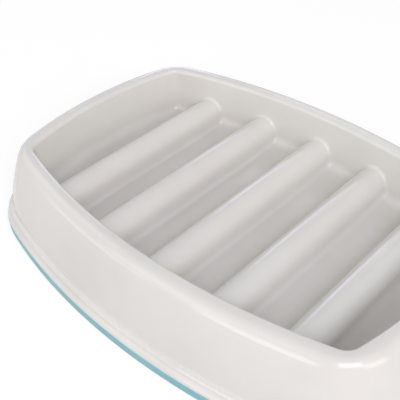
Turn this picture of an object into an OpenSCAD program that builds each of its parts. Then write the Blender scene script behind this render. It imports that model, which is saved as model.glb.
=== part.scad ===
// Slow feeder bowl: a moulded tray with cross ridges on a soft non-slip ring.
// X runs along the bowl, Y along the ridges, Z up from the table.

/* [Outline] */
// Length over the rim
rim_l = 218; // [196:1:260]
// Width over the rim
rim_w = 148; // [130:1:190]
// Bow radius of the two ends
end_bow_r = 190; // [140:1:400]
// Bow radius of the two long sides
side_bow_r = 320; // [260:1:600]
// Corner radius at the outside of the rim
corner_r = 23.5; // [18:0.5:30]
// Corner radius at the inner edge of the rim
corner_in_r = 6.5; // [4:0.5:12]
// Corner radius of the foot
foot_corner_r = 42; // [34:1:48]

/* [Rim and skirt] */
// Height of the rim above the table
bowl_h = 39.5; // [36:0.5:52]
// Wall thickness of the moulding
wall = 2.4; // [1.8:0.1:3]
// Outer rounding of the rim
rim_out_r = 6; // [5:0.5:8]
// Width of the flat crown of the rim
rim_crown_w = 1.8; // [1.5:0.1:3]
// Inner rounding of the rim
rim_in_r = 2.2; // [1.8:0.1:3]
// Rounding under the rim, beside the basin wall
rim_under_r = 1; // [0.4:0.1:1.5]
// Lean of the skirt from upright, in degrees
skirt_lean = 18.5; // [12:0.5:22]

/* [Basin] */
// Height of the basin floor above the table
floor_z = 13.5; // [11:0.5:16]
// Rounding between the floor and the basin wall
floor_r = 5; // [3:0.5:7]
// Draft of the basin wall and the ridge sides, in degrees
draft = 3; // [1:0.5:6]

/* [Ridges] */
// Number of ridges
ridge_n = 5; // [4:1:5]
// Distance from ridge to ridge
ridge_pitch = 35; // [30:0.5:36]
// Height of the ridges above the floor
ridge_h = 12.6; // [11:0.1:16]
// Radius of the rounded ridge top
ridge_r = 7.9; // [6:0.1:8.5]
// Rounding at the foot of a ridge
ridge_foot_r = 2.5; // [1:0.5:4]

/* [Foot] */
// Height of the band between the groove and the step
band_h = 2.2; // [1:0.1:3]
// How far the band stands out from the skirt
band_proud = 0.4; // [0.2:0.1:0.8]
// Height and depth of the groove over the bead
groove_w = 0.6; // [0.4:0.1:0.9]
// Radius of the bead over the ring
bead_r = 2.6; // [2:0.1:2.9]
// How far the bead stands out from the skirt line
bead_proud = 1.1; // [0.6:0.1:1.6]

/* [Non-slip ring] */
// Height of the ring
ring_h = 4.8; // [4:0.1:5.5]
// Thickness of the ring under the slot
ring_base = 1.6; // [1:0.1:2.2]
// Thickness of the ring's inner lip
ring_lip = 1.6; // [1:0.1:2.4]
// Thickness of the tongue that the ring grips
tongue_t = 1.6; // [1.2:0.1:2]
// Clearance on each side of the tongue
ring_fit = 0.1; // [0.05:0.01:0.2]

/* [Hidden] */

// Least corner radius of the basin floor
corner_min = 1;
// Whole width of the rim
rim_t = rim_out_r + rim_crown_w + rim_in_r;
// Overrun of cuts past the faces they pass through
cut = 1;
// Segments in a quarter of the outline: end, corner and long side
end_steps = 5;
corner_steps = 7;
side_steps = 8;
// Segments in a rounding of the wall
round_steps = 6;
// Angle at which the bead runs into the groove
bead_top_a = 65;

// Points of an arc about c from angle a0 to a1
function arc(c, r, a0, a1, n) =
    [for (i = [0 : n]) c + r * [cos(a0 + (a1 - a0) * i / n), sin(a0 + (a1 - a0) * i / n)]];
// All points of a list but the first
function rest(list) = [for (i = [1 : len(list) - 1]) list[i]];
function backwards(list) = [for (i = [len(list) - 1 : -1 : 0]) list[i]];
function flip_x(list) = [for (p = list) [-p.x, p.y]];
function flip_y(list) = [for (p = list) [p.x, -p.y]];

// Centre of the corner arc of radius r, inside the end bow and the side bow
function corner_centre(end_c, end_r, side_c, side_r, r) =
    let (gap = side_c - end_c,
         span = norm(gap),
         reach = (span * span + pow(end_r - r, 2) - pow(side_r - r, 2)) / (2 * span),
         rise = sqrt(pow(end_r - r, 2) - reach * reach),
         along = gap / span)
    end_c + reach * along + rise * [-along.y, along.x];

// First quarter of the outline at d with corner radius r, from the end to the long side
function quarter(d, r) =
    let (end_r = end_bow_r + d,
         side_r = side_bow_r + d,
         end_c = [rim_l / 2 - end_bow_r, 0],
         side_c = [0, rim_w / 2 - side_bow_r],
         c = corner_centre(end_c, end_r, side_c, side_r, r),
         end_a = atan2(c.y - end_c.y, c.x - end_c.x),
         side_a = atan2(c.y - side_c.y, c.x - side_c.x))
    concat(arc(end_c, end_r, 0, end_a, end_steps),
           rest(arc(c, r, end_a, side_a, corner_steps)),
           rest(arc(side_c, side_r, side_a, 90, side_steps)));

// Whole outline at distance d outside the rim edge, anticlockwise from above
function plan(d, r) =
    let (q1 = quarter(d, r),
         q2 = rest(backwards(flip_x(q1))),
         q3 = rest(flip_y(flip_x(q1))),
         q4 = rest(backwards(flip_y(q1))))
    concat(q1, q2, q3, [for (i = [0 : len(q4) - 2]) q4[i]]);

// Places across the wall are [d, z]: d out from the rim edge, z above the table
rim_out_c = [-rim_out_r, bowl_h - rim_out_r];
rim_in_c = [rim_in_r - rim_t, bowl_h - rim_in_r];
skirt_n = [cos(skirt_lean), sin(skirt_lean)];
skirt_top = rim_out_c + rim_out_r * skirt_n;
skirt_in_top = rim_out_c + (rim_out_r - wall) * skirt_n;
function skirt_d(z) = skirt_top.x + (skirt_top.y - z) * tan(skirt_lean);
function skirt_in_d(z) = skirt_in_top.x + (skirt_in_top.y - z) * tan(skirt_lean);

wall_n = [-cos(draft), sin(draft)];
wall_top = rim_in_c + rim_in_r * wall_n;
function wall_d(z) = wall_top.x - (wall_top.y - z) * tan(draft);
function wall_out_d(z) = wall_d(z) + wall / cos(draft);
under_r = min(rim_under_r, rim_crown_w + rim_in_r - wall);
under_z = bowl_h - wall - under_r;
under_c = [wall_out_d(under_z) + under_r / cos(draft), under_z];
fillet_z = floor_z + floor_r;
fillet_c = [wall_d(fillet_z) - floor_r / cos(draft), fillet_z];

ridge_top_z = floor_z + ridge_h;
ridge_c_z = ridge_top_z - ridge_r;

foot_out = skirt_d(ring_h) + bead_proud;
tongue_in = skirt_in_d(ring_h);
tongue_out = tongue_in + tongue_t;
bead_c = [foot_out - bead_r, ring_h];
bead_top_z = ring_h + bead_r * sin(bead_top_a);
groove_z = bead_top_z + groove_w / 2;
band_z = bead_top_z + groove_w;
step_z = band_z + band_h;

// Corner radius of the visible face at distance d: tight in the basin, wide at the foot
function corner_at(d) =
    d > 0 ? corner_r + (foot_corner_r - corner_r) * d / foot_out :
    d > -rim_t ? corner_r + (corner_r - corner_in_r) * d / rim_t :
    max(corner_in_r + rim_t + d, corner_min);

// Levels are [d, z, corner radius]. A level under the visible face keeps that face's corners.
function face(list) = [for (p = list) [p.x, p.y, corner_at(p.x)]];
function behind(list, over) =
    [for (i = [0 : len(list) - 1])
        [list[i].x, list[i].y, corner_at(over[i].x) + list[i].x - over[i].x]];

// Underside of the moulding, from the floor out to the tongue
function under_levels() = concat(
    behind(arc(fillet_c, floor_r + wall, -90, -draft, round_steps),
           arc(fillet_c, floor_r, -90, -draft, round_steps)),
    behind(arc(under_c, under_r, 180 - draft, 90, 2),
           arc(rim_in_c, rim_in_r, 180 - draft, 90, 2)),
    behind(arc(rim_out_c, rim_out_r - wall, 90, skirt_lean, round_steps),
           arc(rim_out_c, rim_out_r, 90, skirt_lean, round_steps)),
    behind([[tongue_in, ring_h], [tongue_in, ring_base]], [[foot_out, 0], [foot_out, 0]]));

// Outer face of the foot, from the tongue up to the step
function foot_levels() = concat(
    behind([[tongue_out, ring_base], [tongue_out, ring_h]], [[foot_out, 0], [foot_out, 0]]),
    face(arc(bead_c, bead_r, 0, bead_top_a, round_steps)),
    face([[skirt_d(groove_z) + band_proud - groove_w, groove_z],
     [skirt_d(band_z) + band_proud, band_z],
     [skirt_d(step_z) + band_proud, step_z],
     [skirt_d(step_z + band_proud), step_z + band_proud]]));

// Top face of the moulding, from the skirt over the rim and down to the floor
function top_levels() = face(concat(
    arc(rim_out_c, rim_out_r, skirt_lean, 90, round_steps),
    arc(rim_in_c, rim_in_r, 90, 180 - draft, round_steps),
    arc(fillet_c, floor_r, -draft, -90, round_steps)));

// Closed solid through a stack of outlines, capped by the first and the last
module loft(levels) {
    n = len(plan(0, corner_r));
    last = len(levels) - 1;
    points = [for (l = levels) for (p = plan(l[0], l[2])) [p.x, p.y, l[1]]];
    sides = [for (j = [0 : last - 1]) for (i = [0 : n - 1])
        let (a = j * n + i, b = j * n + (i + 1) % n)
        each [[a, a + n, b + n], [a, b + n, b]]];
    first_cap = [for (i = [0 : n - 1]) i];
    last_cap = [for (i = [n - 1 : -1 : 0]) last * n + i];
    polyhedron(points = points, faces = concat([first_cap], sides, [last_cap]));
}

// The basin's own space up to the ridge tops, grown by d into the wall and floor
module basin_block(d) {
    top_z = ridge_top_z + cut;
    loft(concat(behind(arc(fillet_c, floor_r + d, -90, -draft, round_steps),
                       arc(fillet_c, floor_r, -90, -draft, round_steps)),
                behind([[wall_d(top_z) + d / cos(draft), top_z]], [[wall_d(top_z), top_z]])));
}

// Half width of a ridge, inset from its skin, at height z
function ridge_half(z, inset) =
    (ridge_r - inset) / cos(draft) + (ridge_c_z - z) * tan(draft);

// Section of a ridge across its run, reaching down to height z
module ridge_section(z, inset) {
    half = ridge_half(z, inset);
    hull() {
        translate([0, ridge_c_z]) circle(r = ridge_r - inset, $fn = 40);
        translate([-half, z]) square([2 * half, wall / 2]);
    }
}

// Concave rounding that runs a ridge side into the floor
module ridge_foot_section() {
    foot = ridge_half(floor_z, 0);
    difference() {
        translate([0, floor_z - wall]) square([foot + ridge_foot_r, wall + ridge_foot_r]);
        translate([foot + ridge_foot_r, floor_z + ridge_foot_r]) circle(r = ridge_foot_r, $fn = 32);
    }
}

// Runs a section along Y, over the full width of the bowl
module along_ridge() {
    rotate([90, 0, 0]) linear_extrude(height = rim_w, center = true) children();
}

module at_ridges() {
    for (i = [0 : ridge_n - 1])
        translate([(i - (ridge_n - 1) / 2) * ridge_pitch, 0, 0]) children();
}

module ridges() {
    intersection() {
        at_ridges() along_ridge() {
            ridge_section(floor_z - wall, 0);
            ridge_foot_section();
            mirror([1, 0]) ridge_foot_section();
        }
        basin_block(wall / 2);
    }
}

// Hollow under the ridges, which keeps their skin as thick as the walls
module ridge_hollows() {
    intersection() {
        at_ridges() along_ridge() ridge_section(floor_z - wall - 2 * cut, wall);
        basin_block(wall + cut);
    }
}

module bowl() {
    color("gainsboro") difference() {
        union() {
            loft(concat(under_levels(), foot_levels(), top_levels()));
            ridges();
        }
        ridge_hollows();
    }
}

// Outline of a face of the ring at distance d, parallel to its outer side
module ring_plan(d) {
    polygon(plan(d, foot_corner_r + d - foot_out));
}

module non_slip_ring() {
    color("cadetblue") difference() {
        linear_extrude(height = ring_h) ring_plan(foot_out);
        translate([0, 0, -cut]) linear_extrude(height = ring_h + 2 * cut)
            ring_plan(tongue_in - ring_fit - ring_lip);
        translate([0, 0, ring_base]) linear_extrude(height = ring_h) difference() {
            ring_plan(tongue_out + ring_fit);
            ring_plan(tongue_in - ring_fit);
        }
    }
}

bowl();
non_slip_ring();
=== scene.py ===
"""Slow feeder bowl: a moulded tray with cross ridges on a soft non-slip ring."""

import logging
import math
from dataclasses import dataclass, field
from enum import Enum
from typing import Any

import bmesh
import bpy
import numpy as np
from mathutils import Matrix, Vector


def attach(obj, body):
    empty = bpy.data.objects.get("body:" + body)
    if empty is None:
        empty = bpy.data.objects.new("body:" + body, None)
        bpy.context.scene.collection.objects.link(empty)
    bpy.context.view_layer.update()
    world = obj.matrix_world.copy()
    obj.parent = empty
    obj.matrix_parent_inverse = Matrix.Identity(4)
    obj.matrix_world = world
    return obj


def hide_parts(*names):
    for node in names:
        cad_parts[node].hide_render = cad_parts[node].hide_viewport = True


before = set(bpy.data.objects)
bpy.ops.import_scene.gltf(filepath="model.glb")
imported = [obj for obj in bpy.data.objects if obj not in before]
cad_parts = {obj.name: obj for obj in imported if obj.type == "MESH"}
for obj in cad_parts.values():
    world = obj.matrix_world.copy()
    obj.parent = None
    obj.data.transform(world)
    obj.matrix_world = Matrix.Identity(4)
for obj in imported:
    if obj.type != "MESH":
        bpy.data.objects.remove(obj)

LOG = logging.getLogger("slow_feeder_bowl")
MM = 0.001
# Points closer than this many millimetres are joined
WELD_MM = 0.003
# The most of a side that the round at one of its ends may take
ROUND_SHARE = 0.45
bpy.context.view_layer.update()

Number = float | np.ndarray
# Two coordinates: x and y, or distance out from the rim edge and height
Place = tuple[float, float]
# Distance out from the rim edge, height, and corner radius
Level = tuple[float, float, float]


class Part(Enum):
    """The three arcs that make a quarter of the outline."""

    END = 0
    CORNER = 1
    SIDE = 2


def arc(centre: Place, radius: float, start: float, stop: float, steps: int) -> list[Place]:
    """Points of an arc.

    Args:
        centre: Centre of the arc.
        radius: Its radius in millimetres.
        start: First angle in degrees.
        stop: Last angle in degrees.
        steps: Number of segments.

    Returns:
        The points, with both ends.
    """
    angles = [math.radians(start + (stop - start) * i / steps) for i in range(steps + 1)]
    return [
        (centre[0] + radius * math.cos(a), centre[1] + radius * math.sin(a)) for a in angles
    ]


def lerp(a: Number, b: Number, share: Number) -> Number:
    """Value between a and b."""
    return a + (b - a) * share


def rounded(corners: list[tuple[float, float, float]], steps: int = 3) -> list[Place]:
    """Rounds the inner corners of a line.

    Args:
        corners: Places along the line, each with the size of its round in millimetres.
        steps: Segments in each round.

    Returns:
        The line's points.
    """
    line = [corners[0][:2]]
    for before, (x, y, size), after in zip(corners, corners[1:], corners[2:]):
        here = Vector((x, y))
        back, on = Vector(before[:2]) - here, Vector(after[:2]) - here
        reach = min(size, back.length * ROUND_SHARE, on.length * ROUND_SHARE)
        start, stop = here + back.normalized() * reach, here + on.normalized() * reach
        for i in range(steps + 1):
            s = i / steps
            bend = start * (1 - s) ** 2 + here * (2 * s * (1 - s)) + stop * s**2
            line.append((bend.x, bend.y))
    return line + [corners[-1][:2]]


def between(a: Level, b: Level, steps: int) -> list[Level]:
    """Levels evenly spaced between two levels, without them."""
    return [
        tuple(lerp(p, q, i / steps) for p, q in zip(a, b)) for i in range(1, steps)
    ]


@dataclass
class Outline:
    """The bowed rectangle seen from above, in millimetres, at any distance from the rim edge.

    Its foot_out is how far out the foot lies, as the skirt's slant and the bead give it.
    """

    rim_l: float = 218.0
    rim_w: float = 148.0
    end_bow_r: float = 190.0
    side_bow_r: float = 320.0
    corner_r: float = 26.0
    corner_in_r: float = 6.5
    foot_corner_r: float = 42.0
    corner_min: float = 1.0
    rim_t: float = 10.0
    foot_out: float = 11.0298

    @property
    def end_c(self) -> Place:
        """Centre of the end bow."""
        return (self.rim_l / 2 - self.end_bow_r, 0.0)

    @property
    def side_c(self) -> Place:
        """Centre of the side bow."""
        return (0.0, self.rim_w / 2 - self.side_bow_r)

    def corner_at(self, d: float) -> float:
        """Corner radius of the visible face.

        Args:
            d: Distance outside the rim edge.

        Returns:
            The radius, which widens towards the foot and tightens into the basin.
        """
        if d > 0:
            return self.corner_r + (self.foot_corner_r - self.corner_r) * d / self.foot_out
        if d > -self.rim_t:
            return self.corner_r + (self.corner_r - self.corner_in_r) * d / self.rim_t
        return max(self.corner_in_r + self.rim_t + d, self.corner_min)

    def corner(self, d: float, r: float) -> tuple[Place, float, float]:
        """Corner arc of the outline.

        Args:
            d: Distance outside the rim edge.
            r: Corner radius.

        Returns:
            The arc's centre, and the angles at which it meets the end and the side.
        """
        (ex, ey), (sx, sy) = self.end_c, self.side_c
        end_r, side_r = self.end_bow_r + d - r, self.side_bow_r + d - r
        gx, gy = sx - ex, sy - ey
        span = math.hypot(gx, gy)
        reach = (span * span + end_r * end_r - side_r * side_r) / (2 * span)
        rise = math.sqrt(end_r * end_r - reach * reach)
        ux, uy = gx / span, gy / span
        cx, cy = ex + reach * ux - rise * uy, ey + reach * uy + rise * ux
        return (cx, cy), math.atan2(cy - ey, cx - ex), math.atan2(cy - sy, cx - sx)

    def point(self, part: Part, share: float, d: float, r: float) -> Place:
        """Point of the first quarter of the outline.

        Args:
            part: The arc that the point is on.
            share: How far along the arc, from the end towards the side.
            d: Distance outside the rim edge.
            r: Corner radius of this outline.

        Returns:
            The point's x and y.
        """
        centre, end_a, side_a = self.corner(d, r)
        if part is Part.END:
            (cx, cy), radius, angle = self.end_c, self.end_bow_r + d, end_a * share
        elif part is Part.CORNER:
            (cx, cy), radius, angle = centre, r, lerp(end_a, side_a, share)
        else:
            (cx, cy), radius = self.side_c, self.side_bow_r + d
            angle = lerp(side_a, math.pi / 2, share)
        return cx + radius * math.cos(angle), cy + radius * math.sin(angle)

    def side_share(self, x: float, d: float, r: float) -> float:
        """Finds where the outline's side arc passes x.

        Args:
            x: Place along the bowl's length.
            d: Distance outside the rim edge.
            r: Corner radius of this outline.

        Returns:
            The share along the arc.
        """
        _, _, side_a = self.corner(d, r)
        angle = math.acos((x - self.side_c[0]) / (self.side_bow_r + d))
        return (angle - side_a) / (math.pi / 2 - side_a)

    def lengths(self, d: float, r: float) -> tuple[float, float, float]:
        """Lengths of the quarter's three arcs.

        Args:
            d: Distance outside the rim edge.
            r: Corner radius of this outline.

        Returns:
            The lengths of the end, the corner and the side.
        """
        _, end_a, side_a = self.corner(d, r)
        side = (self.side_bow_r + d) * (math.pi / 2 - side_a)
        return (self.end_bow_r + d) * end_a, r * (side_a - end_a), side

    def walk(self, length: float, d: float, r: float) -> tuple[Part, float]:
        """Finds a place on the quarter outline.

        Args:
            length: Length along the outline, from the middle of the end.
            d: Distance outside the rim edge.
            r: Corner radius of this outline.

        Returns:
            The arc, and the share along it.
        """
        end, bend, side = self.lengths(d, r)
        if length < end:
            return Part.END, length / end
        if length < end + bend:
            return Part.CORNER, (length - end) / bend
        return Part.SIDE, min(1.0, (length - end - bend) / side)

    def distance(self, x: np.ndarray, y: np.ndarray) -> np.ndarray:
        """Distance of points from the rim edge, measured from the basin's own outline.

        Args:
            x: The points' places along the bowl's length.
            y: Their places along its width.

        Returns:
            The distances, positive outside.
        """
        d0, r0 = -self.rim_t, self.corner_in_r
        (cx, cy), end_a, side_a = self.corner(d0, r0)
        (ex, ey), (sx, sy) = self.end_c, self.side_c
        x, y = np.abs(x), np.abs(y)
        by_end = np.hypot(x - ex, y - ey) - (self.end_bow_r + d0)
        by_side = np.hypot(x - sx, y - sy) - (self.side_bow_r + d0)
        by_corner = np.hypot(x - cx, y - cy) - r0
        past_end = np.arctan2(y - ey, x - ex) > end_a
        before_side = np.arctan2(y - sy, x - sx) < side_a
        return d0 + np.where(past_end & before_side, by_corner, np.maximum(by_end, by_side))


@dataclass
class WallSection:
    """The wall cut across, in millimetres. Places are (d, z): d out from the rim edge, z up."""

    bowl_h: float = 39.5
    wall: float = 2.4
    rim_out_r: float = 6.0
    rim_crown_w: float = 1.8
    rim_in_r: float = 2.2
    rim_under_r: float = 1.0
    skirt_lean: float = 18.5
    skirt_bow: float = 6.0
    floor_z: float = 13.5
    floor_r: float = 5.0
    draft: float = 3.0

    def __post_init__(self) -> None:
        """Works out the places that the levels share."""
        rim_t = self.rim_out_r + self.rim_crown_w + self.rim_in_r
        self.lean, self.slope = math.radians(self.skirt_lean), math.radians(self.draft)
        self.top_lean = self.skirt_lean + self.skirt_bow
        self.rim_out_c = (-self.rim_out_r, self.bowl_h - self.rim_out_r)
        self.rim_in_c = (self.rim_in_r - rim_t, self.bowl_h - self.rim_in_r)
        self.wall_top = arc(self.rim_in_c, self.rim_in_r, 180 - self.draft, 90, 1)[0]
        self.skirt_top = arc(self.rim_out_c, self.rim_out_r, self.skirt_lean, 90, 1)[0]
        under_z = self.bowl_h - self.wall - self.rim_under_r
        under_d = self.wall_out_d(under_z) + self.rim_under_r / math.cos(self.slope)
        self.under_c = (under_d, under_z)

    def wall_d(self, z: Number) -> Number:
        """Distance of the basin wall's face at height z."""
        return self.wall_top[0] - (self.wall_top[1] - z) * math.tan(self.slope)

    def wall_out_d(self, z: Number) -> Number:
        """Distance of the basin wall's hidden face at height z."""
        return self.wall_d(z) + self.wall / math.cos(self.slope)

    def skirt_d(self, z: Number) -> Number:
        """Distance at height z of the straight slant that the foot and the ring follow."""
        return self.skirt_top[0] + (self.skirt_top[1] - z) * math.tan(self.lean)

    def skirt_in_d(self, z: Number) -> Number:
        """Distance at height z of the hidden face behind that slant."""
        return self.skirt_d(z) - self.wall / math.cos(self.lean)

    def bowed_skirt(self, stop: Place, steps: int = 9) -> list[Place]:
        """Places down the skirt, which leans out more under the rim than over the foot.

        Args:
            stop: Place at which the skirt ends, on the ledge over the foot's band.
            steps: Number of segments.

        Returns:
            The places, from the rim's rounding down.
        """
        top = arc(self.rim_out_c, self.rim_out_r, self.top_lean, 90, 1)[0]
        start, end = Vector(top), Vector(stop)
        reach = (start.y - end.y) / 2
        middle = start + Vector((math.tan(math.radians(self.top_lean)), -1.0)) * reach
        line = [
            start * (1 - t) ** 2 + middle * (2 * t * (1 - t)) + end * t**2
            for t in np.linspace(0, 1, steps + 1)
        ]
        return [tuple(place) for place in line]


@dataclass
class RidgeSizes:
    """The cross ridges, in millimetres."""

    count: int = 5
    pitch: float = 35.0
    height: float = 12.6
    radius: float = 7.9
    foot_r: float = 2.5
    end_r: float = 1.8


@dataclass
class FootSizes:
    """The foot of the skirt and the ring under it, in millimetres."""

    ledge_w: float = 1.2
    ledge_h: float = 0.35
    ledge_r: float = 0.2
    step_r: float = 0.45
    band_h: float = 1.3
    band_proud: float = 0.6
    band_tilt: float = 0.35
    band_r: float = 0.6
    groove_h: float = 0.5
    groove_w: float = 0.9
    groove_r: float = 0.25
    groove_gap: float = 0.5
    bead_r: float = 2.6
    bead_proud: float = 1.1
    bead_top_a: float = 65.0
    bead_low_a: float = 6.0
    bead_top_r: float = 0.12
    seat_r: float = 0.2
    tongue_t: float = 1.6
    tongue_r: float = 0.3
    ring_h: float = 4.8
    ring_base: float = 1.6
    ring_lip: float = 1.6
    ring_fit: float = 0.1
    ring_low_r: float = 0.6
    ring_top_r: float = 0.4
    slot_r: float = 0.25


@dataclass
class Upright:
    """One upright line of the walls: its place on the outline and the height it starts at.

    The share is its place along the arc in the basin, and even is its place on the rim and
    the skirt, where the lines of a corner are spread evenly.
    """

    part: Part
    share: float
    z: float
    even: float


@dataclass
class Patchwork:
    """Gathers grids of points for a quarter of a piece and makes the whole piece from them."""

    grids: list[np.ndarray] = field(default_factory=list)

    def make(self, name: str) -> bpy.types.Object:
        """Mirrors the quarter, joins the borders and makes a smooth-shaded mesh.

        Args:
            name: Name of the piece.

        Returns:
            The object, at the origin.
        """
        points, faces, total = [], [], 0
        for sx, sy in ((1, 1), (-1, 1), (-1, -1), (1, -1)):
            for grid in self.grids:
                rows, columns = grid.shape[:2]
                index = np.arange(rows * columns).reshape(rows, columns) + total
                ring = [index[:-1, :-1], index[:-1, 1:], index[1:, 1:], index[1:, :-1]]
                faces.append(np.stack(ring, axis=-1).reshape(-1, 4))
                points.append(grid.reshape(-1, 3) * np.array([sx, sy, 1.0]) * MM)
                total += rows * columns
        mesh = bpy.data.meshes.new(name)
        mesh.from_pydata(np.vstack(points).tolist(), [], np.vstack(faces).tolist())
        shape = bmesh.new()
        shape.from_mesh(mesh)
        bmesh.ops.remove_doubles(shape, verts=shape.verts, dist=WELD_MM * MM)
        bmesh.ops.recalc_face_normals(shape, faces=shape.faces)
        shape.to_mesh(mesh)
        shape.free()
        mesh.polygons.foreach_set("use_smooth", [True] * len(mesh.polygons))
        mesh.update()
        piece = bpy.data.objects.new(name, mesh)
        bpy.context.scene.collection.objects.link(piece)
        return piece


# Materials


def linear(hex_colour: str) -> tuple[float, float, float, float]:
    """Turns an sRGB hex colour to linear values, by the curve that sRGB is defined by.

    Args:
        hex_colour: The colour, with its leading sign.

    Returns:
        Red, green, blue and full opacity.
    """
    parts = [int(hex_colour[i : i + 2], 16) / 255 for i in (1, 3, 5)]
    values = [p / 12.92 if p <= 0.04045 else ((p + 0.055) / 1.055) ** 2.4 for p in parts]
    return (*values, 1.0)


def add_node(
    tree: bpy.types.NodeTree,
    kind: str,
    settings: dict[str | int, Any],
    links: dict[str | int, bpy.types.NodeSocket],
) -> bpy.types.Node:
    """Adds a node with its settings and links.

    Args:
        tree: Node tree that the node joins.
        kind: Blender's name for the node type.
        settings: Attributes by name, and input values by socket name or number.
        links: Output sockets by the input's name or number.

    Returns:
        The node.
    """
    node = tree.nodes.new(kind)
    for name, value in settings.items():
        if isinstance(name, int) or name in node.inputs:
            node.inputs[name].default_value = value
        else:
            setattr(node, name, value)
    for name, socket in links.items():
        tree.links.new(socket, node.inputs[name])
    return node


def ramp(node: bpy.types.Node, stops: tuple[tuple[float, str], ...]) -> None:
    """Sets a colour ramp's stops.

    Args:
        node: The ramp's node.
        stops: The position and the sRGB hex colour of each.
    """
    elements = node.color_ramp.elements
    while len(elements) < len(stops):
        elements.new(0.5)
    for element, (place, colour) in zip(elements, stops):
        element.position = place
        element.color = linear(colour)


def new_material(name: str) -> tuple[bpy.types.Material, bpy.types.NodeTree]:
    """Makes an empty node material.

    Args:
        name: Name of the material.

    Returns:
        The material and its node tree.
    """
    material = bpy.data.materials.new(name)
    material.use_nodes = True
    material.node_tree.nodes.clear()
    return material, material.node_tree


@dataclass(frozen=True)
class MouldedFinish:
    """A moulded plastic, cloudy in colour and gloss, with a fine grain in its face.

    Its cloud_mix is the share of fine detail in the clouds, and gloss_spread is how far its
    roughness goes under and over the middle value.
    """

    clouds: tuple[tuple[float, str], ...]
    cloud_mm: float
    cloud_detail: float
    cloud_mix: float
    roughness: float
    gloss_spread: tuple[float, float]
    ior: float
    grain_mm: float
    grain_detail: float
    grain_deep_mm: float
    grain_strength: float

    def surface(
        self, tree: bpy.types.NodeTree, place: bpy.types.NodeSocket
    ) -> dict[str, bpy.types.NodeSocket]:
        """Adds the nodes of the clouds and the grain.

        Args:
            tree: The material's node tree.
            place: Coordinates on the piece.

        Returns:
            The links of the shader, by the names of its inputs.
        """
        clouds = add_node(
            tree,
            "ShaderNodeTexNoise",
            {
                "Scale": 1 / (self.cloud_mm * MM),
                "Detail": self.cloud_detail,
                "Roughness": self.cloud_mix,
            },
            {"Vector": place},
        )
        colour = add_node(tree, "ShaderNodeValToRGB", {}, {"Fac": clouds.outputs["Fac"]})
        ramp(colour, self.clouds)
        smooth, rough = (self.roughness + spread for spread in self.gloss_spread)
        gloss = add_node(
            tree,
            "ShaderNodeMapRange",
            {"To Min": smooth, "To Max": rough},
            {"Value": clouds.outputs["Fac"]},
        )
        grain = add_node(
            tree,
            "ShaderNodeTexNoise",
            {"Scale": 1 / (self.grain_mm * MM), "Detail": self.grain_detail},
            {"Vector": place},
        )
        bump = add_node(
            tree,
            "ShaderNodeBump",
            {"Strength": self.grain_strength, "Distance": self.grain_deep_mm * MM},
            {"Height": grain.outputs["Fac"]},
        )
        return {
            "Base Color": colour.outputs["Color"],
            "Roughness": gloss.outputs["Result"],
            "Normal": bump.outputs["Normal"],
        }


@dataclass(frozen=True)
class MouldedPolypropylene(MouldedFinish):
    """Satin polypropylene, injection moulded in a spark-eroded steel mould.

    The eye sees an even, warm light grey with a soft sheen that gathers into lines along
    the tight curves, a very fine dimpled texture, and a little more light coming through at
    thin edges than on flat faces. Low in the channels the colour turns darker and warmer in soft
    patches: painted shade.
    """

    # Melt flow leaves cloudy bands a few centimetres wide, slightly darker than the rest
    clouds: tuple[tuple[float, str], ...] = ((0.35, "#D9D7D3"), (0.65, "#DDDDD8"))
    cloud_mm: float = 45.0
    cloud_detail: float = 3.0
    cloud_mix: float = 0.55
    roughness: float = 0.12
    gloss_spread: tuple[float, float] = (-0.03, 0.05)
    ior: float = 1.49
    # The spark-eroded texture is about 0.1 mm wide, drawn as coarse as it needs to show
    grain_mm: float = 0.7
    grain_detail: float = 2.0
    grain_deep_mm: float = 0.05
    grain_strength: float = 0.06
    # Painted shade: the colour darkens and warms towards the bottom of the channels, in soft
    # patches
    shade_colour_low: str = "#C6C0BA"
    shade_patch_mm: float = 12.0
    shade_patch_detail: float = 4.0
    shade_spread: tuple[float, float] = (0.175, 0.525)
    # Light goes a millimetre or two into the plastic, red the furthest
    through_share: float = 0.08
    through_mm: float = 1.5
    through_reach: tuple[float, float, float] = (0.8, 0.7, 0.6)

    def make(self) -> bpy.types.Material:
        """Builds the node material.

        Returns:
            The material.
        """
        material, tree = new_material("moulded_polypropylene")
        place = add_node(tree, "ShaderNodeTexCoord", {}, {}).outputs["Object"]
        links = self.surface(tree, place)
        # Painted shade: the base colour is mixed towards a darker warm grey, more the lower the
        # point lies in the basin
        low = add_node(tree, "ShaderNodeAttribute", {"attribute_name": "basin_low"}, {})
        patches = add_node(
            tree,
            "ShaderNodeTexNoise",
            {"Scale": 1 / (self.shade_patch_mm * MM), "Detail": self.shade_patch_detail},
            {"Vector": place},
        )
        least, most = self.shade_spread
        share = add_node(
            tree,
            "ShaderNodeMapRange",
            {"To Min": least, "To Max": most},
            {"Value": patches.outputs["Fac"]},
        )
        painted_shade = add_node(
            tree,
            "ShaderNodeMath",
            {"operation": "MULTIPLY"},
            {0: low.outputs["Fac"], 1: share.outputs["Result"]},
        )
        tint = add_node(
            tree,
            "ShaderNodeMix",
            {"data_type": "RGBA", 7: linear(self.shade_colour_low)},
            {0: painted_shade.outputs["Value"], 6: links["Base Color"]},
        )
        shader = add_node(
            tree,
            "ShaderNodeBsdfPrincipled",
            {
                "IOR": self.ior,
                "Subsurface Weight": self.through_share,
                "Subsurface Radius": self.through_reach,
                "Subsurface Scale": self.through_mm * MM,
            },
            links | {"Base Color": tint.outputs[2]},
        )
        add_node(tree, "ShaderNodeOutputMaterial", {}, {"Surface": shader.outputs["BSDF"]})
        return material


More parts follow.
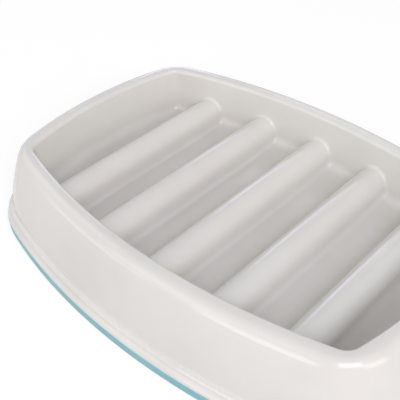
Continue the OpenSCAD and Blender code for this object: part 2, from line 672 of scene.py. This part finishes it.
@dataclass(frozen=True)
class SoftElastomer(MouldedFinish):
    """Thermoplastic elastomer, moulded in one soft piece.

    The eye sees a matt turquoise with a faint cloudy bloom, a soft sheen towards the edges
    of its curves, and a fine grain that takes the shine off.
    """

    # Bloom rises to the surface in cloudy patches of one or two centimetres
    clouds: tuple[tuple[float, str], ...] = ((0.35, "#7DB4BF"), (0.7, "#8CBFC8"))
    cloud_mm: float = 18.0
    cloud_detail: float = 4.0
    cloud_mix: float = 0.6
    roughness: float = 0.58
    gloss_spread: tuple[float, float] = (-0.05, 0.08)
    ior: float = 1.5
    # The moulded grain is finer than this, drawn as coarse as it needs to show
    grain_mm: float = 0.6
    grain_detail: float = 3.0
    grain_deep_mm: float = 0.08
    grain_strength: float = 0.15
    sheen_share: float = 0.1
    sheen_roughness: float = 0.5

    def make(self) -> bpy.types.Material:
        """Builds the node material.

        Returns:
            The material.
        """
        material, tree = new_material("soft_elastomer")
        place = add_node(tree, "ShaderNodeTexCoord", {}, {}).outputs["Object"]
        shader = add_node(
            tree,
            "ShaderNodeBsdfPrincipled",
            {
                "IOR": self.ior,
                "Sheen Weight": self.sheen_share,
                "Sheen Roughness": self.sheen_roughness,
            },
            self.surface(tree, place),
        )
        add_node(tree, "ShaderNodeOutputMaterial", {}, {"Surface": shader.outputs["BSDF"]})
        return material


# The bowl


@dataclass
class Bowl:
    """The moulded tray: basin, ridges, rolled rim, flared skirt and foot, in one skin.

    The fields that end in steps are the numbers of segments in its curves and spans, and
    climb is the shares of the wall's height at which its rows lie. The last five say where
    points lie on a fillet, and how they are drawn onto the face.
    """

    outline: Outline = field(default_factory=Outline)
    wall: WallSection = field(default_factory=WallSection)
    ridges: RidgeSizes = field(default_factory=RidgeSizes)
    foot: FootSizes = field(default_factory=FootSizes)
    finish: MouldedPolypropylene = field(default_factory=MouldedPolypropylene)
    top_steps: int = 10
    side_steps: int = 2
    foot_steps: int = 6
    floor_steps: int = 4
    end_steps: int = 7
    row_steps: int = 9
    rim_in_steps: int = 8
    rim_out_steps: int = 10
    bead_steps: int = 8
    round_steps: int = 4
    tongue_steps: int = 3
    under_out_steps: int = 6
    under_in_steps: int = 4
    climb: tuple[float, ...] = (0.0, 0.05, 0.09, 0.13, 0.17, 0.27, 0.45, 0.7)
    fillet_angles: tuple[float, ...] = (0.0, 11.25, 22.5, 33.75)
    fillet_lead: float = 1.5
    probe_mm: float = 0.01
    draw_rounds: int = 8
    least_slope: float = 0.2

    def __post_init__(self) -> None:
        """Works out the ridge and foot places that several faces share."""
        w, r, f = self.wall, self.ridges, self.foot
        self.ridge_c_z = w.floor_z + r.height - r.radius
        self.toe_c_z = w.floor_z + r.foot_r
        drop = (self.toe_c_z - self.ridge_c_z) * math.sin(w.slope)
        self.toe_c_u = (r.radius + r.foot_r - drop) / math.cos(w.slope)
        self.foot_out = w.skirt_d(f.ring_h) + f.bead_proud
        self.tongue_in = w.skirt_in_d(f.ring_h)
        self.tongue_out = self.tongue_in + f.tongue_t
        self.last = (r.count - 1) // 2
        self.profile = self.half_profile()
        self.crown = self.top_steps // 2
        self.toe = self.top_steps + self.side_steps + self.foot_steps // 2
        self.rows = [self.profile[k] for k in range(self.toe, self.crown - 1, -1)]

    # The basin's face as a distance from it

    def ridge_gap(self, x: np.ndarray, z: np.ndarray) -> np.ndarray:
        """Distance from the nearest ridge's face.

        Args:
            x: The points' places along the bowl's length.
            z: Their heights.

        Returns:
            The distances, positive in the air.
        """
        r, slope = self.ridges, self.wall.slope
        centre = np.clip(np.round(x / r.pitch), -self.last, self.last) * r.pitch
        u, v = np.abs(x - centre), z - self.ridge_c_z
        by_side = u * math.cos(slope) + v * math.sin(slope) - r.radius
        by_top = np.hypot(u, v) - r.radius
        return np.where(v * math.cos(slope) > u * math.sin(slope), by_top, by_side)

    @staticmethod
    def filleted(a: np.ndarray, b: np.ndarray, radius: Number) -> np.ndarray:
        """Joins two faces with a fillet.

        Args:
            a: Distance from the first face, positive in the air.
            b: Distance from the second face.
            radius: Radius of the fillet between them.

        Returns:
            Distance from the joined face.
        """
        return np.maximum(radius, np.minimum(a, b)) - np.hypot(
            np.maximum(radius - a, 0), np.maximum(radius - b, 0)
        )

    def gap(self, p: np.ndarray) -> np.ndarray:
        """Distance of points from the basin's face.

        Args:
            p: The points, in millimetres.

        Returns:
            The distances, positive in the air over it.
        """
        w, r = self.wall, self.ridges
        x, y, z = p[:, 0], p[:, 1], p[:, 2]
        from_wall = (w.wall_d(z) - self.outline.distance(x, y)) * math.cos(w.slope)
        tray = self.filleted(from_wall, z - w.floor_z, w.floor_r)
        rise = np.clip((z - self.toe_c_z) / r.foot_r, 0, 1)
        # A smooth step, so that the fillet's radius changes without a crease
        rise = rise * rise * (3 - 2 * rise)
        return self.filleted(tray, self.ridge_gap(x, z), lerp(r.foot_r, r.end_r, rise))

    def drawn_onto(self, grid: np.ndarray, depth: float) -> np.ndarray:
        """Moves points onto the face that lies at a depth under the basin's face.

        Args:
            grid: Points in millimetres, in an array of any shape by 3.
            depth: Zero for the face itself, the wall's thickness for its underside.

        Returns:
            The moved points, in the same shape.
        """
        p, h = grid.reshape(-1, 3).copy(), self.probe_mm
        for _ in range(self.draw_rounds):
            slope = np.stack(
                [(self.gap(p + h * a) - self.gap(p - h * a)) / (2 * h) for a in np.eye(3)],
                axis=1,
            )
            steep = np.maximum((slope * slope).sum(1), self.least_slope)
            p -= ((self.gap(p) + depth) / steep)[:, None] * slope
        return p.reshape(grid.shape)

    # Grids of a quarter of the basin

    def half_profile(self) -> list[Place]:
        """Section of half a ridge and half the channel beside it.

        Returns:
            Places across the ridge, from its crown down to the middle of the channel.
        """
        w, r = self.wall, self.ridges
        crown = arc((0.0, self.ridge_c_z), r.radius, 90, w.draft, self.top_steps)
        toe = arc((self.toe_c_u, self.toe_c_z), r.foot_r, 180 + w.draft, 270, self.foot_steps)
        side = [
            (lerp(crown[-1][0], toe[0][0], s), lerp(crown[-1][1], toe[0][1], s))
            for s in np.linspace(0, 1, self.side_steps + 1)[1:-1]
        ]
        spread = np.linspace(self.toe_c_u, r.pitch / 2, self.floor_steps + 1)[1:]
        return crown + side + toe + [(float(u), w.floor_z) for u in spread]

    def near_wall(self, radius: float) -> list[float]:
        """Distances from a wall, far to near, that land evenly on a fillet of this radius."""
        close = [radius * (1 - math.tan(math.radians(a))) for a in self.fillet_angles]
        return [radius * self.fillet_lead] + close + [0.0]

    def wall_y(self, x: float, z: float) -> float:
        """Y of the long side's basin wall at x and z."""
        o = self.outline
        return o.side_c[1] + math.sqrt((o.side_bow_r + self.wall.wall_d(z)) ** 2 - x * x)

    def run_y(self, x: float, z: float) -> list[float]:
        """Y places along a ridge or channel.

        Args:
            x: Place along the bowl's length.
            z: Height of the face there.

        Returns:
            The places, from the middle to the wall.
        """
        w, r = self.wall, self.ridges
        radius = lerp(w.floor_r, r.end_r, min(1.0, (z - w.floor_z) / w.floor_r))
        end = self.wall_y(x, z)
        close = [end - n for n in self.near_wall(radius)]
        return list(np.linspace(0, close[0], self.row_steps + 1)[:-1]) + close

    def strips(self) -> np.ndarray:
        """Grid over the ridges and channels.

        Returns:
            The grid, from the middle ridge's crown out to the last ridge's toe.
        """
        pitch, columns = self.ridges.pitch, []
        for i in range(self.last + 1):
            if i:
                columns += [(i * pitch - u, z) for u, z in reversed(self.profile[:-1])]
            stop = len(self.profile) if i < self.last else self.toe + self.foot_steps // 2 + 1
            start = 1 if i else 0
            columns += [(i * pitch + u, z) for u, z in self.profile[start:stop]]
        return np.array([[(x, y, z) for y in self.run_y(x, z)] for x, z in columns])

    def pocket_x(self, centre: float, sign: int, place: int, row: int) -> float:
        """X of a point of a channel's end wall.

        Args:
            centre: X of the ridge beside it.
            sign: Side of the ridge, 1 or -1.
            place: Number of the profile place that the point's upright starts from.
            row: Number of the row above the toe.

        Returns:
            The point's x.
        """
        toe_u, half = self.profile[self.toe][0], self.ridges.pitch / 2
        share = (self.profile[place][0] - toe_u) / (half - toe_u)
        return centre + sign * lerp(self.rows[row][0], half, share)

    def row_z(self, row: int, start_z: float) -> float:
        """Height of a row of the walls over a place whose lowest point is at start_z."""
        shift = (start_z - self.rows[0][1]) * (1 - row / (len(self.rows) - 1))
        return self.rows[row][1] + shift

    def pocket(self, centre: float, sign: int) -> np.ndarray:
        """Grid up the end wall of half a channel.

        Args:
            centre: X of the ridge beside it.
            sign: Side of the ridge, 1 or -1.

        Returns:
            The grid.
        """
        grid = []
        for place in range(self.toe, len(self.profile)):
            line = []
            for row in range(len(self.rows)):
                x = self.pocket_x(centre, sign, place, row)
                z = self.row_z(row, self.profile[place][1])
                line.append((x, self.wall_y(x, z), z))
            grid.append(line)
        return np.array(grid)

    def end_floor(self) -> tuple[np.ndarray, list[tuple[Part, float]]]:
        """Grid of the floor beside the end wall.

        Returns:
            The grid, and the places of its outer edge from the last ridge to the end's middle.
        """
        o, w = self.outline, self.wall
        d = w.wall_d(w.floor_z)
        r = o.corner_at(d)
        x_toe = self.last * self.ridges.pitch + self.toe_c_u
        left = np.array([(x_toe, y) for y in self.run_y(x_toe, w.floor_z)])
        t = left[:, 1] / left[-1, 1]
        reach = o.point(Part.END, 0.0, d, r)[0] - x_toe
        near = [1 - n / reach for n in self.near_wall(w.floor_r)]
        s = np.array(list(np.linspace(0, near[0], self.end_steps + 1)[:-1]) + near)
        end, bend, side = o.lengths(d, r)
        middle = end + bend / 2
        start = end + bend + side * o.side_share(x_toe, d, r)
        top_walk = [o.walk(lerp(start, middle, n), d, r) for n in s]
        right_walk = [o.walk(middle * n, d, r) for n in t]
        top = np.array([o.point(part, share, d, r) for part, share in top_walk])
        right = np.array([o.point(part, share, d, r) for part, share in right_walk])
        low = np.array([(lerp(x_toe, right[0][0], n), 0.0) for n in s])
        s, t = s[:, None, None], t[None, :, None]
        patch = (1 - s) * left[None] + s * right[None] + (1 - t) * low[:, None]
        patch += t * top[:, None] - (1 - s) * (1 - t) * low[0] - s * (1 - t) * low[-1]
        patch -= (1 - s) * t * top[0] + s * t * top[-1]
        flat = np.full(patch.shape[:2] + (1,), w.floor_z)
        edge = top_walk[1:] + right_walk[::-1][1:]
        return np.concatenate([patch, flat], axis=2), edge

    def end_wall(self, edge: list[tuple[Part, float]]) -> tuple[np.ndarray, list[Upright]]:
        """Grid up the wall from the last ridge round to the middle of the end.

        Args:
            edge: Places of the floor's outer edge.

        Returns:
            The grid, and the uprights of its top row, in the same order.
        """
        o, w = self.outline, self.wall
        centre = self.last * self.ridges.pitch
        d = w.wall_d(w.floor_z)
        r = o.corner_at(d)
        stop_x = o.point(Part.SIDE, 0.0, d, r)[0]
        toe_x = centre + self.profile[self.toe][0]
        toe_run = self.profile[self.toe : self.toe + self.foot_steps // 2 + 1]
        starts = [(centre + u, z) for u, z in toe_run]
        starts += [(o.point(p, n, d, r)[0], w.floor_z) for p, n in edge if p is Part.SIDE]
        grid, uprights = [], []
        for x, z in starts:
            share = (x - toe_x) / (stop_x - toe_x)
            line = []
            for row, (u, _) in enumerate(self.rows):
                at_x, at_z = lerp(centre + u, stop_x, share), self.row_z(row, z)
                line.append((at_x, self.wall_y(at_x, at_z), at_z))
            grid.append(line)
            uprights.append(self.side_upright(line[-1][0], line[-1][2]))
        corners = [n for p, n in edge if p is Part.CORNER]
        for part, share in edge:
            if part is Part.SIDE:
                continue
            line = []
            for row in range(len(self.rows)):
                at_z = self.row_z(row, w.floor_z)
                at_d = w.wall_d(at_z)
                line.append((*o.point(part, share, at_d, o.corner_at(at_d)), at_z))
            grid.append(line)
            even = share
            if part is Part.CORNER:
                even = 1 - (corners.index(share) + 0.5) / len(corners)
            uprights.append(Upright(part, share, line[-1][2], even))
        return np.array(grid), uprights

    def side_upright(self, x: float, z: float) -> Upright:
        """Makes an upright of the long side's wall.

        Args:
            x: Place along the bowl's length.
            z: Height that it starts at.

        Returns:
            The upright.
        """
        d = self.wall.wall_d(z)
        share = self.outline.side_share(x, d, self.outline.corner_at(d))
        return Upright(Part.SIDE, share, z, share)

    def ridge_uprights(self) -> list[Upright]:
        """Uprights over the ridges and channels.

        Returns:
            The uprights, from the last ridge to the middle of the side.
        """
        pitch, top, uprights = self.ridges.pitch, len(self.rows) - 1, []
        pocket = range(self.toe, len(self.profile))
        for i in range(self.last, -1, -1):
            centre = i * pitch
            for u, z in reversed(self.profile[: self.crown]):
                uprights.append(self.side_upright(centre + u, z))
            if not i:
                break
            for u, z in self.profile[1 : self.crown + 1]:
                uprights.append(self.side_upright(centre - u, z))
            xs = [self.pocket_x(centre, -1, place, top) for place in pocket][1:]
            xs += [self.pocket_x(centre - pitch, 1, place, top) for place in pocket][-2::-1]
            uprights += [self.side_upright(x, self.rows[top][1]) for x in xs]
        return uprights

    # Levels round the rim, skirt and foot

    def face(self, places: list[Place]) -> list[Level]:
        """Gives places of the visible face their corner radius."""
        return [(d, z, self.outline.corner_at(d)) for d, z in places]

    def behind(self, places: list[Place], over: list[Place]) -> list[Level]:
        """Gives places of the hidden face corners parallel to the face over them."""
        return [
            (d, z, self.outline.corner_at(o[0]) + d - o[0])
            for (d, z), o in zip(places, over)
        ]

    def levels(self) -> list[Level]:
        """Levels of the rim, the skirt and the foot.

        Returns:
            The levels, from the basin wall's top over the rim, round the foot and back up
            under the rim.
        """
        w, f = self.wall, self.foot
        over_rim = arc(w.rim_in_c, w.rim_in_r, 180 - w.draft, 90, self.rim_in_steps)
        over_rim += arc(w.rim_out_c, w.rim_out_r, 90, w.top_lean, self.rim_out_steps)
        bead_c = (self.foot_out - f.bead_r, f.ring_h)
        bead = arc(bead_c, f.bead_r, f.bead_top_a, f.bead_low_a, self.bead_steps)
        groove_z = bead[0][1] + f.groove_gap
        band_z = groove_z + f.groove_h
        step_z = band_z + f.band_h
        ledge_z = step_z + f.ledge_h
        proud = f.band_proud
        skirt = w.bowed_skirt((w.skirt_d(ledge_z) - f.ledge_w, ledge_z))
        foot = rounded(
            [
                (*skirt[-2], 0.0),
                (*skirt[-1], f.ledge_r),
                (w.skirt_d(step_z) + proud - f.band_tilt, step_z, f.step_r),
                (w.skirt_d(band_z) + proud, band_z, f.band_r),
                (w.skirt_d(groove_z) + proud - f.groove_w, groove_z, f.groove_r),
                (*bead[0], f.bead_top_r),
                (*bead[1], 0.0),
            ],
            steps=self.round_steps,
        )
        under = rounded(
            [
                (*bead[-1], 0.0),
                (self.foot_out, f.ring_h, f.seat_r),
                (self.tongue_out, f.ring_h, f.seat_r),
                (self.tongue_out, f.ring_base, f.tongue_r),
                (self.tongue_in, f.ring_base, f.tongue_r),
                (self.tongue_in, f.ring_h, 0.0),
            ]
        )
        levels = self.face(over_rim + skirt[1:-2] + foot + bead[2:])
        levels += self.behind(under[1:], [(self.foot_out, 0.0)] * len(under))
        skirt = skirt[-2:0:-1]
        inside = self.behind([(d - w.wall / math.cos(w.lean), z) for d, z in skirt], skirt)
        levels += between(levels[-1], inside[0], self.tongue_steps) + inside
        levels += self.behind(
            arc(w.rim_out_c, w.rim_out_r - w.wall, w.top_lean, 90, self.under_out_steps),
            arc(w.rim_out_c, w.rim_out_r, w.top_lean, 90, self.under_out_steps),
        )
        return levels + self.behind(
            arc(w.under_c, w.rim_under_r, 90, 180 - w.draft, self.under_in_steps),
            arc(w.rim_in_c, w.rim_in_r, 90, 180 - w.draft, self.under_in_steps),
        )

    def wall_rows(self, uprights: list[Upright], top_z: float, depth: float) -> list[np.ndarray]:
        """Rows up the basin's wall from the lower basin.

        Args:
            uprights: The uprights, from the middle of the end to the middle of the side.
            top_z: Height that the rows lead to.
            depth: Zero for the visible face, the wall's thickness for the hidden one.

        Returns:
            The rows, low to high.
        """
        o, w, rows = self.outline, self.wall, []
        for climb in self.climb:
            row = []
            for line in uprights:
                z = lerp(line.z, top_z, climb)
                d = w.wall_d(z)
                row.append((*o.point(line.part, line.share, d, o.corner_at(d)), z))
            rows.append(self.drawn_onto(np.array(row), depth))
        return rows

    def around(self, uprights: list[Upright]) -> np.ndarray:
        """Grid up the basin's wall, over the rim, round the foot and up the hidden faces.

        Args:
            uprights: The uprights, from the middle of the end to the middle of the side.

        Returns:
            The grid.
        """
        w, levels = self.wall, self.levels()
        rows = self.wall_rows(uprights, w.wall_top[1], 0.0)
        # Uprights go over to even places in the first quarter of the levels, back in the last
        quarter = len(levels) / 4
        for k, (d, z, r) in enumerate(levels):
            even = min(1.0, k / quarter, (len(levels) - 1 - k) / quarter)
            row = []
            for line in uprights:
                share = lerp(line.share, line.even, even)
                row.append((*self.outline.point(line.part, share, d, r), z))
            rows.append(np.array(row))
        rows += reversed(self.wall_rows(uprights, levels[-1][1], w.wall))
        return np.array(rows)

    def mark_low(
        self, bowl: bpy.types.Object, top_z: float = 27.0, slack: float = 0.3
    ) -> None:
        """Marks how low each point of the basin's face lies, for the painted shade low in the
        channels.

        Args:
            bowl: The built bowl.
            top_z: Height from which the marks grow towards the floor, in millimetres.
            slack: How far behind the basin's face a point may lie to be marked.
        """
        w, mesh = self.wall, bowl.data
        places = np.zeros(len(mesh.vertices) * 3)
        mesh.vertices.foreach_get("co", places)
        x, y, z = places.reshape(-1, 3).T / MM
        inside = self.outline.distance(x, y) < w.wall_d(z) + slack
        inside &= z > w.floor_z - slack
        low = np.clip((top_z - z) / (top_z - w.floor_z), 0.0, 1.0) * inside
        mesh.attributes.new("basin_low", "FLOAT", "POINT").data.foreach_set("value", low)

    def build(self) -> bpy.types.Object:
        """Builds and dresses the bowl.

        Returns:
            The bowl, riding on the part's one body.
        """
        patches = Patchwork()
        floor, edge = self.end_floor()
        end_wall, uprights = self.end_wall(edge)
        lower = [self.strips(), floor, end_wall]
        for i in range(self.last):
            lower.append(self.pocket(i * self.ridges.pitch, 1))
            lower.append(self.pocket((i + 1) * self.ridges.pitch, -1))
        for depth in (0.0, self.wall.wall):
            patches.grids += [self.drawn_onto(grid, depth) for grid in lower]
        patches.grids.append(self.around(uprights[::-1] + self.ridge_uprights()))
        bowl = patches.make("bowl_moulding")
        # The low marks set where the painted shade darkens the channels
        self.mark_low(bowl)
        bowl.data.materials.append(self.finish.make())
        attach(bowl, "root")
        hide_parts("bowl")
        return bowl


# The non-slip ring


@dataclass
class NonSlipRing:
    """The soft ring whose slot grips the tongue under the bowl's foot."""

    outline: Outline = field(default_factory=Outline)
    wall: WallSection = field(default_factory=WallSection)
    foot: FootSizes = field(default_factory=FootSizes)
    finish: SoftElastomer = field(default_factory=SoftElastomer)
    uprights: int = 72
    round_steps: int = 4

    def section(self) -> list[Place]:
        """Section of the ring.

        Returns:
            A closed loop of places.
        """
        f, w = self.foot, self.wall
        out = w.skirt_d(f.ring_h) + f.bead_proud
        tongue_in = w.skirt_in_d(f.ring_h)
        slot_out = tongue_in + f.tongue_t + f.ring_fit
        slot_in = tongue_in - f.ring_fit
        lip_in = slot_in - f.ring_lip
        middle = (out + lip_in) / 2
        return rounded(
            [
                (middle, 0.0, 0.0),
                (out, 0.0, f.ring_low_r),
                (out, f.ring_h, f.ring_top_r),
                (slot_out, f.ring_h, f.slot_r),
                (slot_out, f.ring_base, f.slot_r),
                (slot_in, f.ring_base, f.slot_r),
                (slot_in, f.ring_h, f.slot_r),
                (lip_in, f.ring_h, f.ring_top_r),
                (lip_in, 0.0, f.ring_low_r),
                (middle, 0.0, 0.0),
            ],
            steps=self.round_steps,
        )

    def build(self) -> bpy.types.Object:
        """Builds and dresses the ring.

        Returns:
            The ring, riding on the part's one body.
        """
        o = self.outline
        out = o.foot_out
        total = sum(o.lengths(out, o.foot_corner_r))
        steps = np.linspace(0, total, self.uprights + 1)
        walk = [o.walk(float(n), out, o.foot_corner_r) for n in steps]
        rows = [
            [(*o.point(p, n, d, o.foot_corner_r + d - out), z) for p, n in walk]
            for d, z in self.section()
        ]
        ring = Patchwork([np.array(rows)]).make("non_slip_ring_moulding")
        ring.data.materials.append(self.finish.make())
        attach(ring, "root")
        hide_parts("non_slip_ring")
        return ring


# The studio


@dataclass
class Lamp:
    """A rectangular soft box that points at the bowl, with its sizes in metres.

    Its bearing is in degrees from the bowl's length, its height in degrees over the floor.
    """

    name: str
    bearing: float
    height: float
    width: float
    tall: float
    watts: float
    colour: str = "#FFFFFF"
    distance: float = 1.2
    aim_z: float = 0.02

    def build(self) -> bpy.types.Object:
        """Builds the lamp.

        Returns:
            The lamp's object.
        """
        light = bpy.data.lights.new(self.name, "AREA")
        light.shape = "RECTANGLE"
        light.size, light.size_y = self.width, self.tall
        light.energy = self.watts
        light.color = linear(self.colour)[:3]
        lamp = bpy.data.objects.new(self.name, light)
        bearing, height = math.radians(self.bearing), math.radians(self.height)
        out = Vector(
            (
                math.cos(height) * math.cos(bearing),
                math.cos(height) * math.sin(bearing),
                math.sin(height),
            )
        )
        lamp.location = out * self.distance + Vector((0, 0, self.aim_z))
        lamp.rotation_euler = (-out).to_track_quat("-Z", "Y").to_euler()
        bpy.context.scene.collection.objects.link(lamp)
        return lamp


@dataclass
class Studio:
    """The camera, lamps, world and floor.

    Places are in metres, angles in radians, and the focal length in pixels of the frame.
    """

    camera_place: tuple[float, float, float] = (0.15776, -0.19042, 0.23193)
    turn: float = 0.76928
    tilt: float = 0.69685
    roll: float = -0.02885
    focal: float = 681.62
    frame_px: float = 400.0
    sensor_mm: float = 36.0
    nearest: float = 0.01
    world_light: float = 0.45
    floor_reach: float = 3.0
    floor_drop: float = 0.05 * MM
    floor_lift: float = 0.58
    floor_colour: str = "#BCBCBC"
    lamps: tuple[Lamp, ...] = (
        Lamp("key_box", 330, 40, 0.6, 0.6, 6.6, "#F3F2FF"),
        Lamp("front_box", 270, 15, 0.6, 0.6, 3.0, "#FFF3EC"),
        Lamp("right_box", 0, 15, 0.6, 0.6, 3.1, "#FFF1DC"),
        Lamp("left_box", 240, 40, 0.6, 0.6, 1.1),
        Lamp("low_left_box", 228, 6, 0.6, 0.4, 0.9),
        Lamp("far_left_box", 180, 40, 0.6, 0.6, 1.0, "#FFFAF2"),
        Lamp("back_window", 137, 14, 0.28, 0.54, 1.15, "#D0D0FF"),
        Lamp("far_side_box", 119, 30, 0.35, 0.35, 0.4),
    )

    def camera(self) -> None:
        """Places the camera."""
        lens = bpy.data.cameras.new("photo_camera")
        lens.sensor_fit = "HORIZONTAL"
        lens.sensor_width = self.sensor_mm
        lens.lens = self.focal / self.frame_px * self.sensor_mm
        lens.clip_start = self.nearest
        camera = bpy.data.objects.new("photo_camera", lens)
        turn, tilt, roll = self.turn, self.tilt, self.roll
        ahead = Vector(
            (-math.sin(turn) * math.cos(tilt), math.cos(turn) * math.cos(tilt), -math.sin(tilt))
        )
        level = Vector((math.cos(turn), math.sin(turn), 0.0))
        upright = level.cross(ahead)
        right = level * math.cos(roll) + upright * math.sin(roll)
        up = upright * math.cos(roll) - level * math.sin(roll)
        axes = Matrix((right, up, -ahead)).transposed().to_4x4()
        camera.matrix_world = Matrix.Translation(Vector(self.camera_place)) @ axes
        bpy.context.scene.collection.objects.link(camera)
        bpy.context.scene.camera = camera

    def white_seen(self, tree: bpy.types.NodeTree) -> bpy.types.NodeSocket:
        """Adds nodes that tell rays that see the background from rays that light the bowl.

        Args:
            tree: Node tree of the world or a material.

        Returns:
            A value of 1 for camera, glossy and transmission rays and 0 for the others.
        """
        path = add_node(tree, "ShaderNodeLightPath", {}, {})
        seen = path.outputs["Is Camera Ray"]
        for name in ("Is Glossy Ray", "Is Transmission Ray"):
            links = {0: seen, 1: path.outputs[name]}
            seen = add_node(
                tree, "ShaderNodeMath", {"operation": "MAXIMUM"}, links
            ).outputs["Value"]
        return seen

    def world(self) -> None:
        """Builds the world: white where it is seen, and a plain soft light on the bowl."""
        world = bpy.data.worlds.new("studio_world")
        world.use_nodes = True
        tree = world.node_tree
        tree.nodes.clear()
        light = add_node(
            tree,
            "ShaderNodeBackground",
            {"Color": linear("#FFFFFF"), "Strength": self.world_light},
            {},
        )
        white = add_node(tree, "ShaderNodeBackground", {"Color": linear("#FFFFFF")}, {})
        mix = add_node(
            tree,
            "ShaderNodeMixShader",
            {},
            {
                "Fac": self.white_seen(tree),
                1: light.outputs["Background"],
                2: white.outputs["Background"],
            },
        )
        add_node(tree, "ShaderNodeOutputWorld", {}, {"Surface": mix.outputs["Shader"]})
        bpy.context.scene.world = world

    def floor(self) -> None:
        """Builds the floor: a pale grey, lifted to near white where it is seen.

        It keeps the bowl's shadow, and is see-through from underneath.
        """
        mesh = bpy.data.meshes.new("studio_floor")
        reach, z = self.floor_reach, -self.floor_drop
        mesh.from_pydata(
            [(-reach, -reach, z), (reach, -reach, z), (reach, reach, z), (-reach, reach, z)],
            [],
            [(0, 1, 2, 3)],
        )
        floor = bpy.data.objects.new("studio_floor", mesh)
        bpy.context.scene.collection.objects.link(floor)
        material, tree = new_material("studio_floor")
        pale = add_node(tree, "ShaderNodeBsdfDiffuse", {"Color": linear(self.floor_colour)}, {})
        seen = {0: self.white_seen(tree)}
        lift = add_node(
            tree, "ShaderNodeMath", {"operation": "MULTIPLY", 1: self.floor_lift}, seen
        )
        glow = add_node(tree, "ShaderNodeEmission", {}, {"Strength": lift.outputs["Value"]})
        both = add_node(
            tree,
            "ShaderNodeAddShader",
            {},
            {0: pale.outputs["BSDF"], 1: glow.outputs["Emission"]},
        )
        clear = add_node(tree, "ShaderNodeBsdfTransparent", {}, {})
        sides = add_node(
            tree,
            "ShaderNodeMixShader",
            {},
            {
                "Fac": add_node(tree, "ShaderNodeNewGeometry", {}, {}).outputs["Backfacing"],
                1: both.outputs["Shader"],
                2: clear.outputs["BSDF"],
            },
        )
        add_node(tree, "ShaderNodeOutputMaterial", {}, {"Surface": sides.outputs["Shader"]})
        mesh.materials.append(material)

    def build(self) -> None:
        """Builds the whole studio."""
        self.camera()
        self.world()
        self.floor()
        for lamp in self.lamps:
            lamp.build()
        bpy.context.scene.view_settings.view_transform = "Standard"


def main() -> None:
    """Builds the studio and the pieces in order and reports each piece."""
    logging.basicConfig(level=logging.INFO, format="%(name)s: %(message)s")
    Studio().build()
    for piece in (Bowl().build(), NonSlipRing().build()):
        LOG.info("%s: %d faces", piece.name, len(piece.data.polygons))


if __name__ == "__main__":
    main()
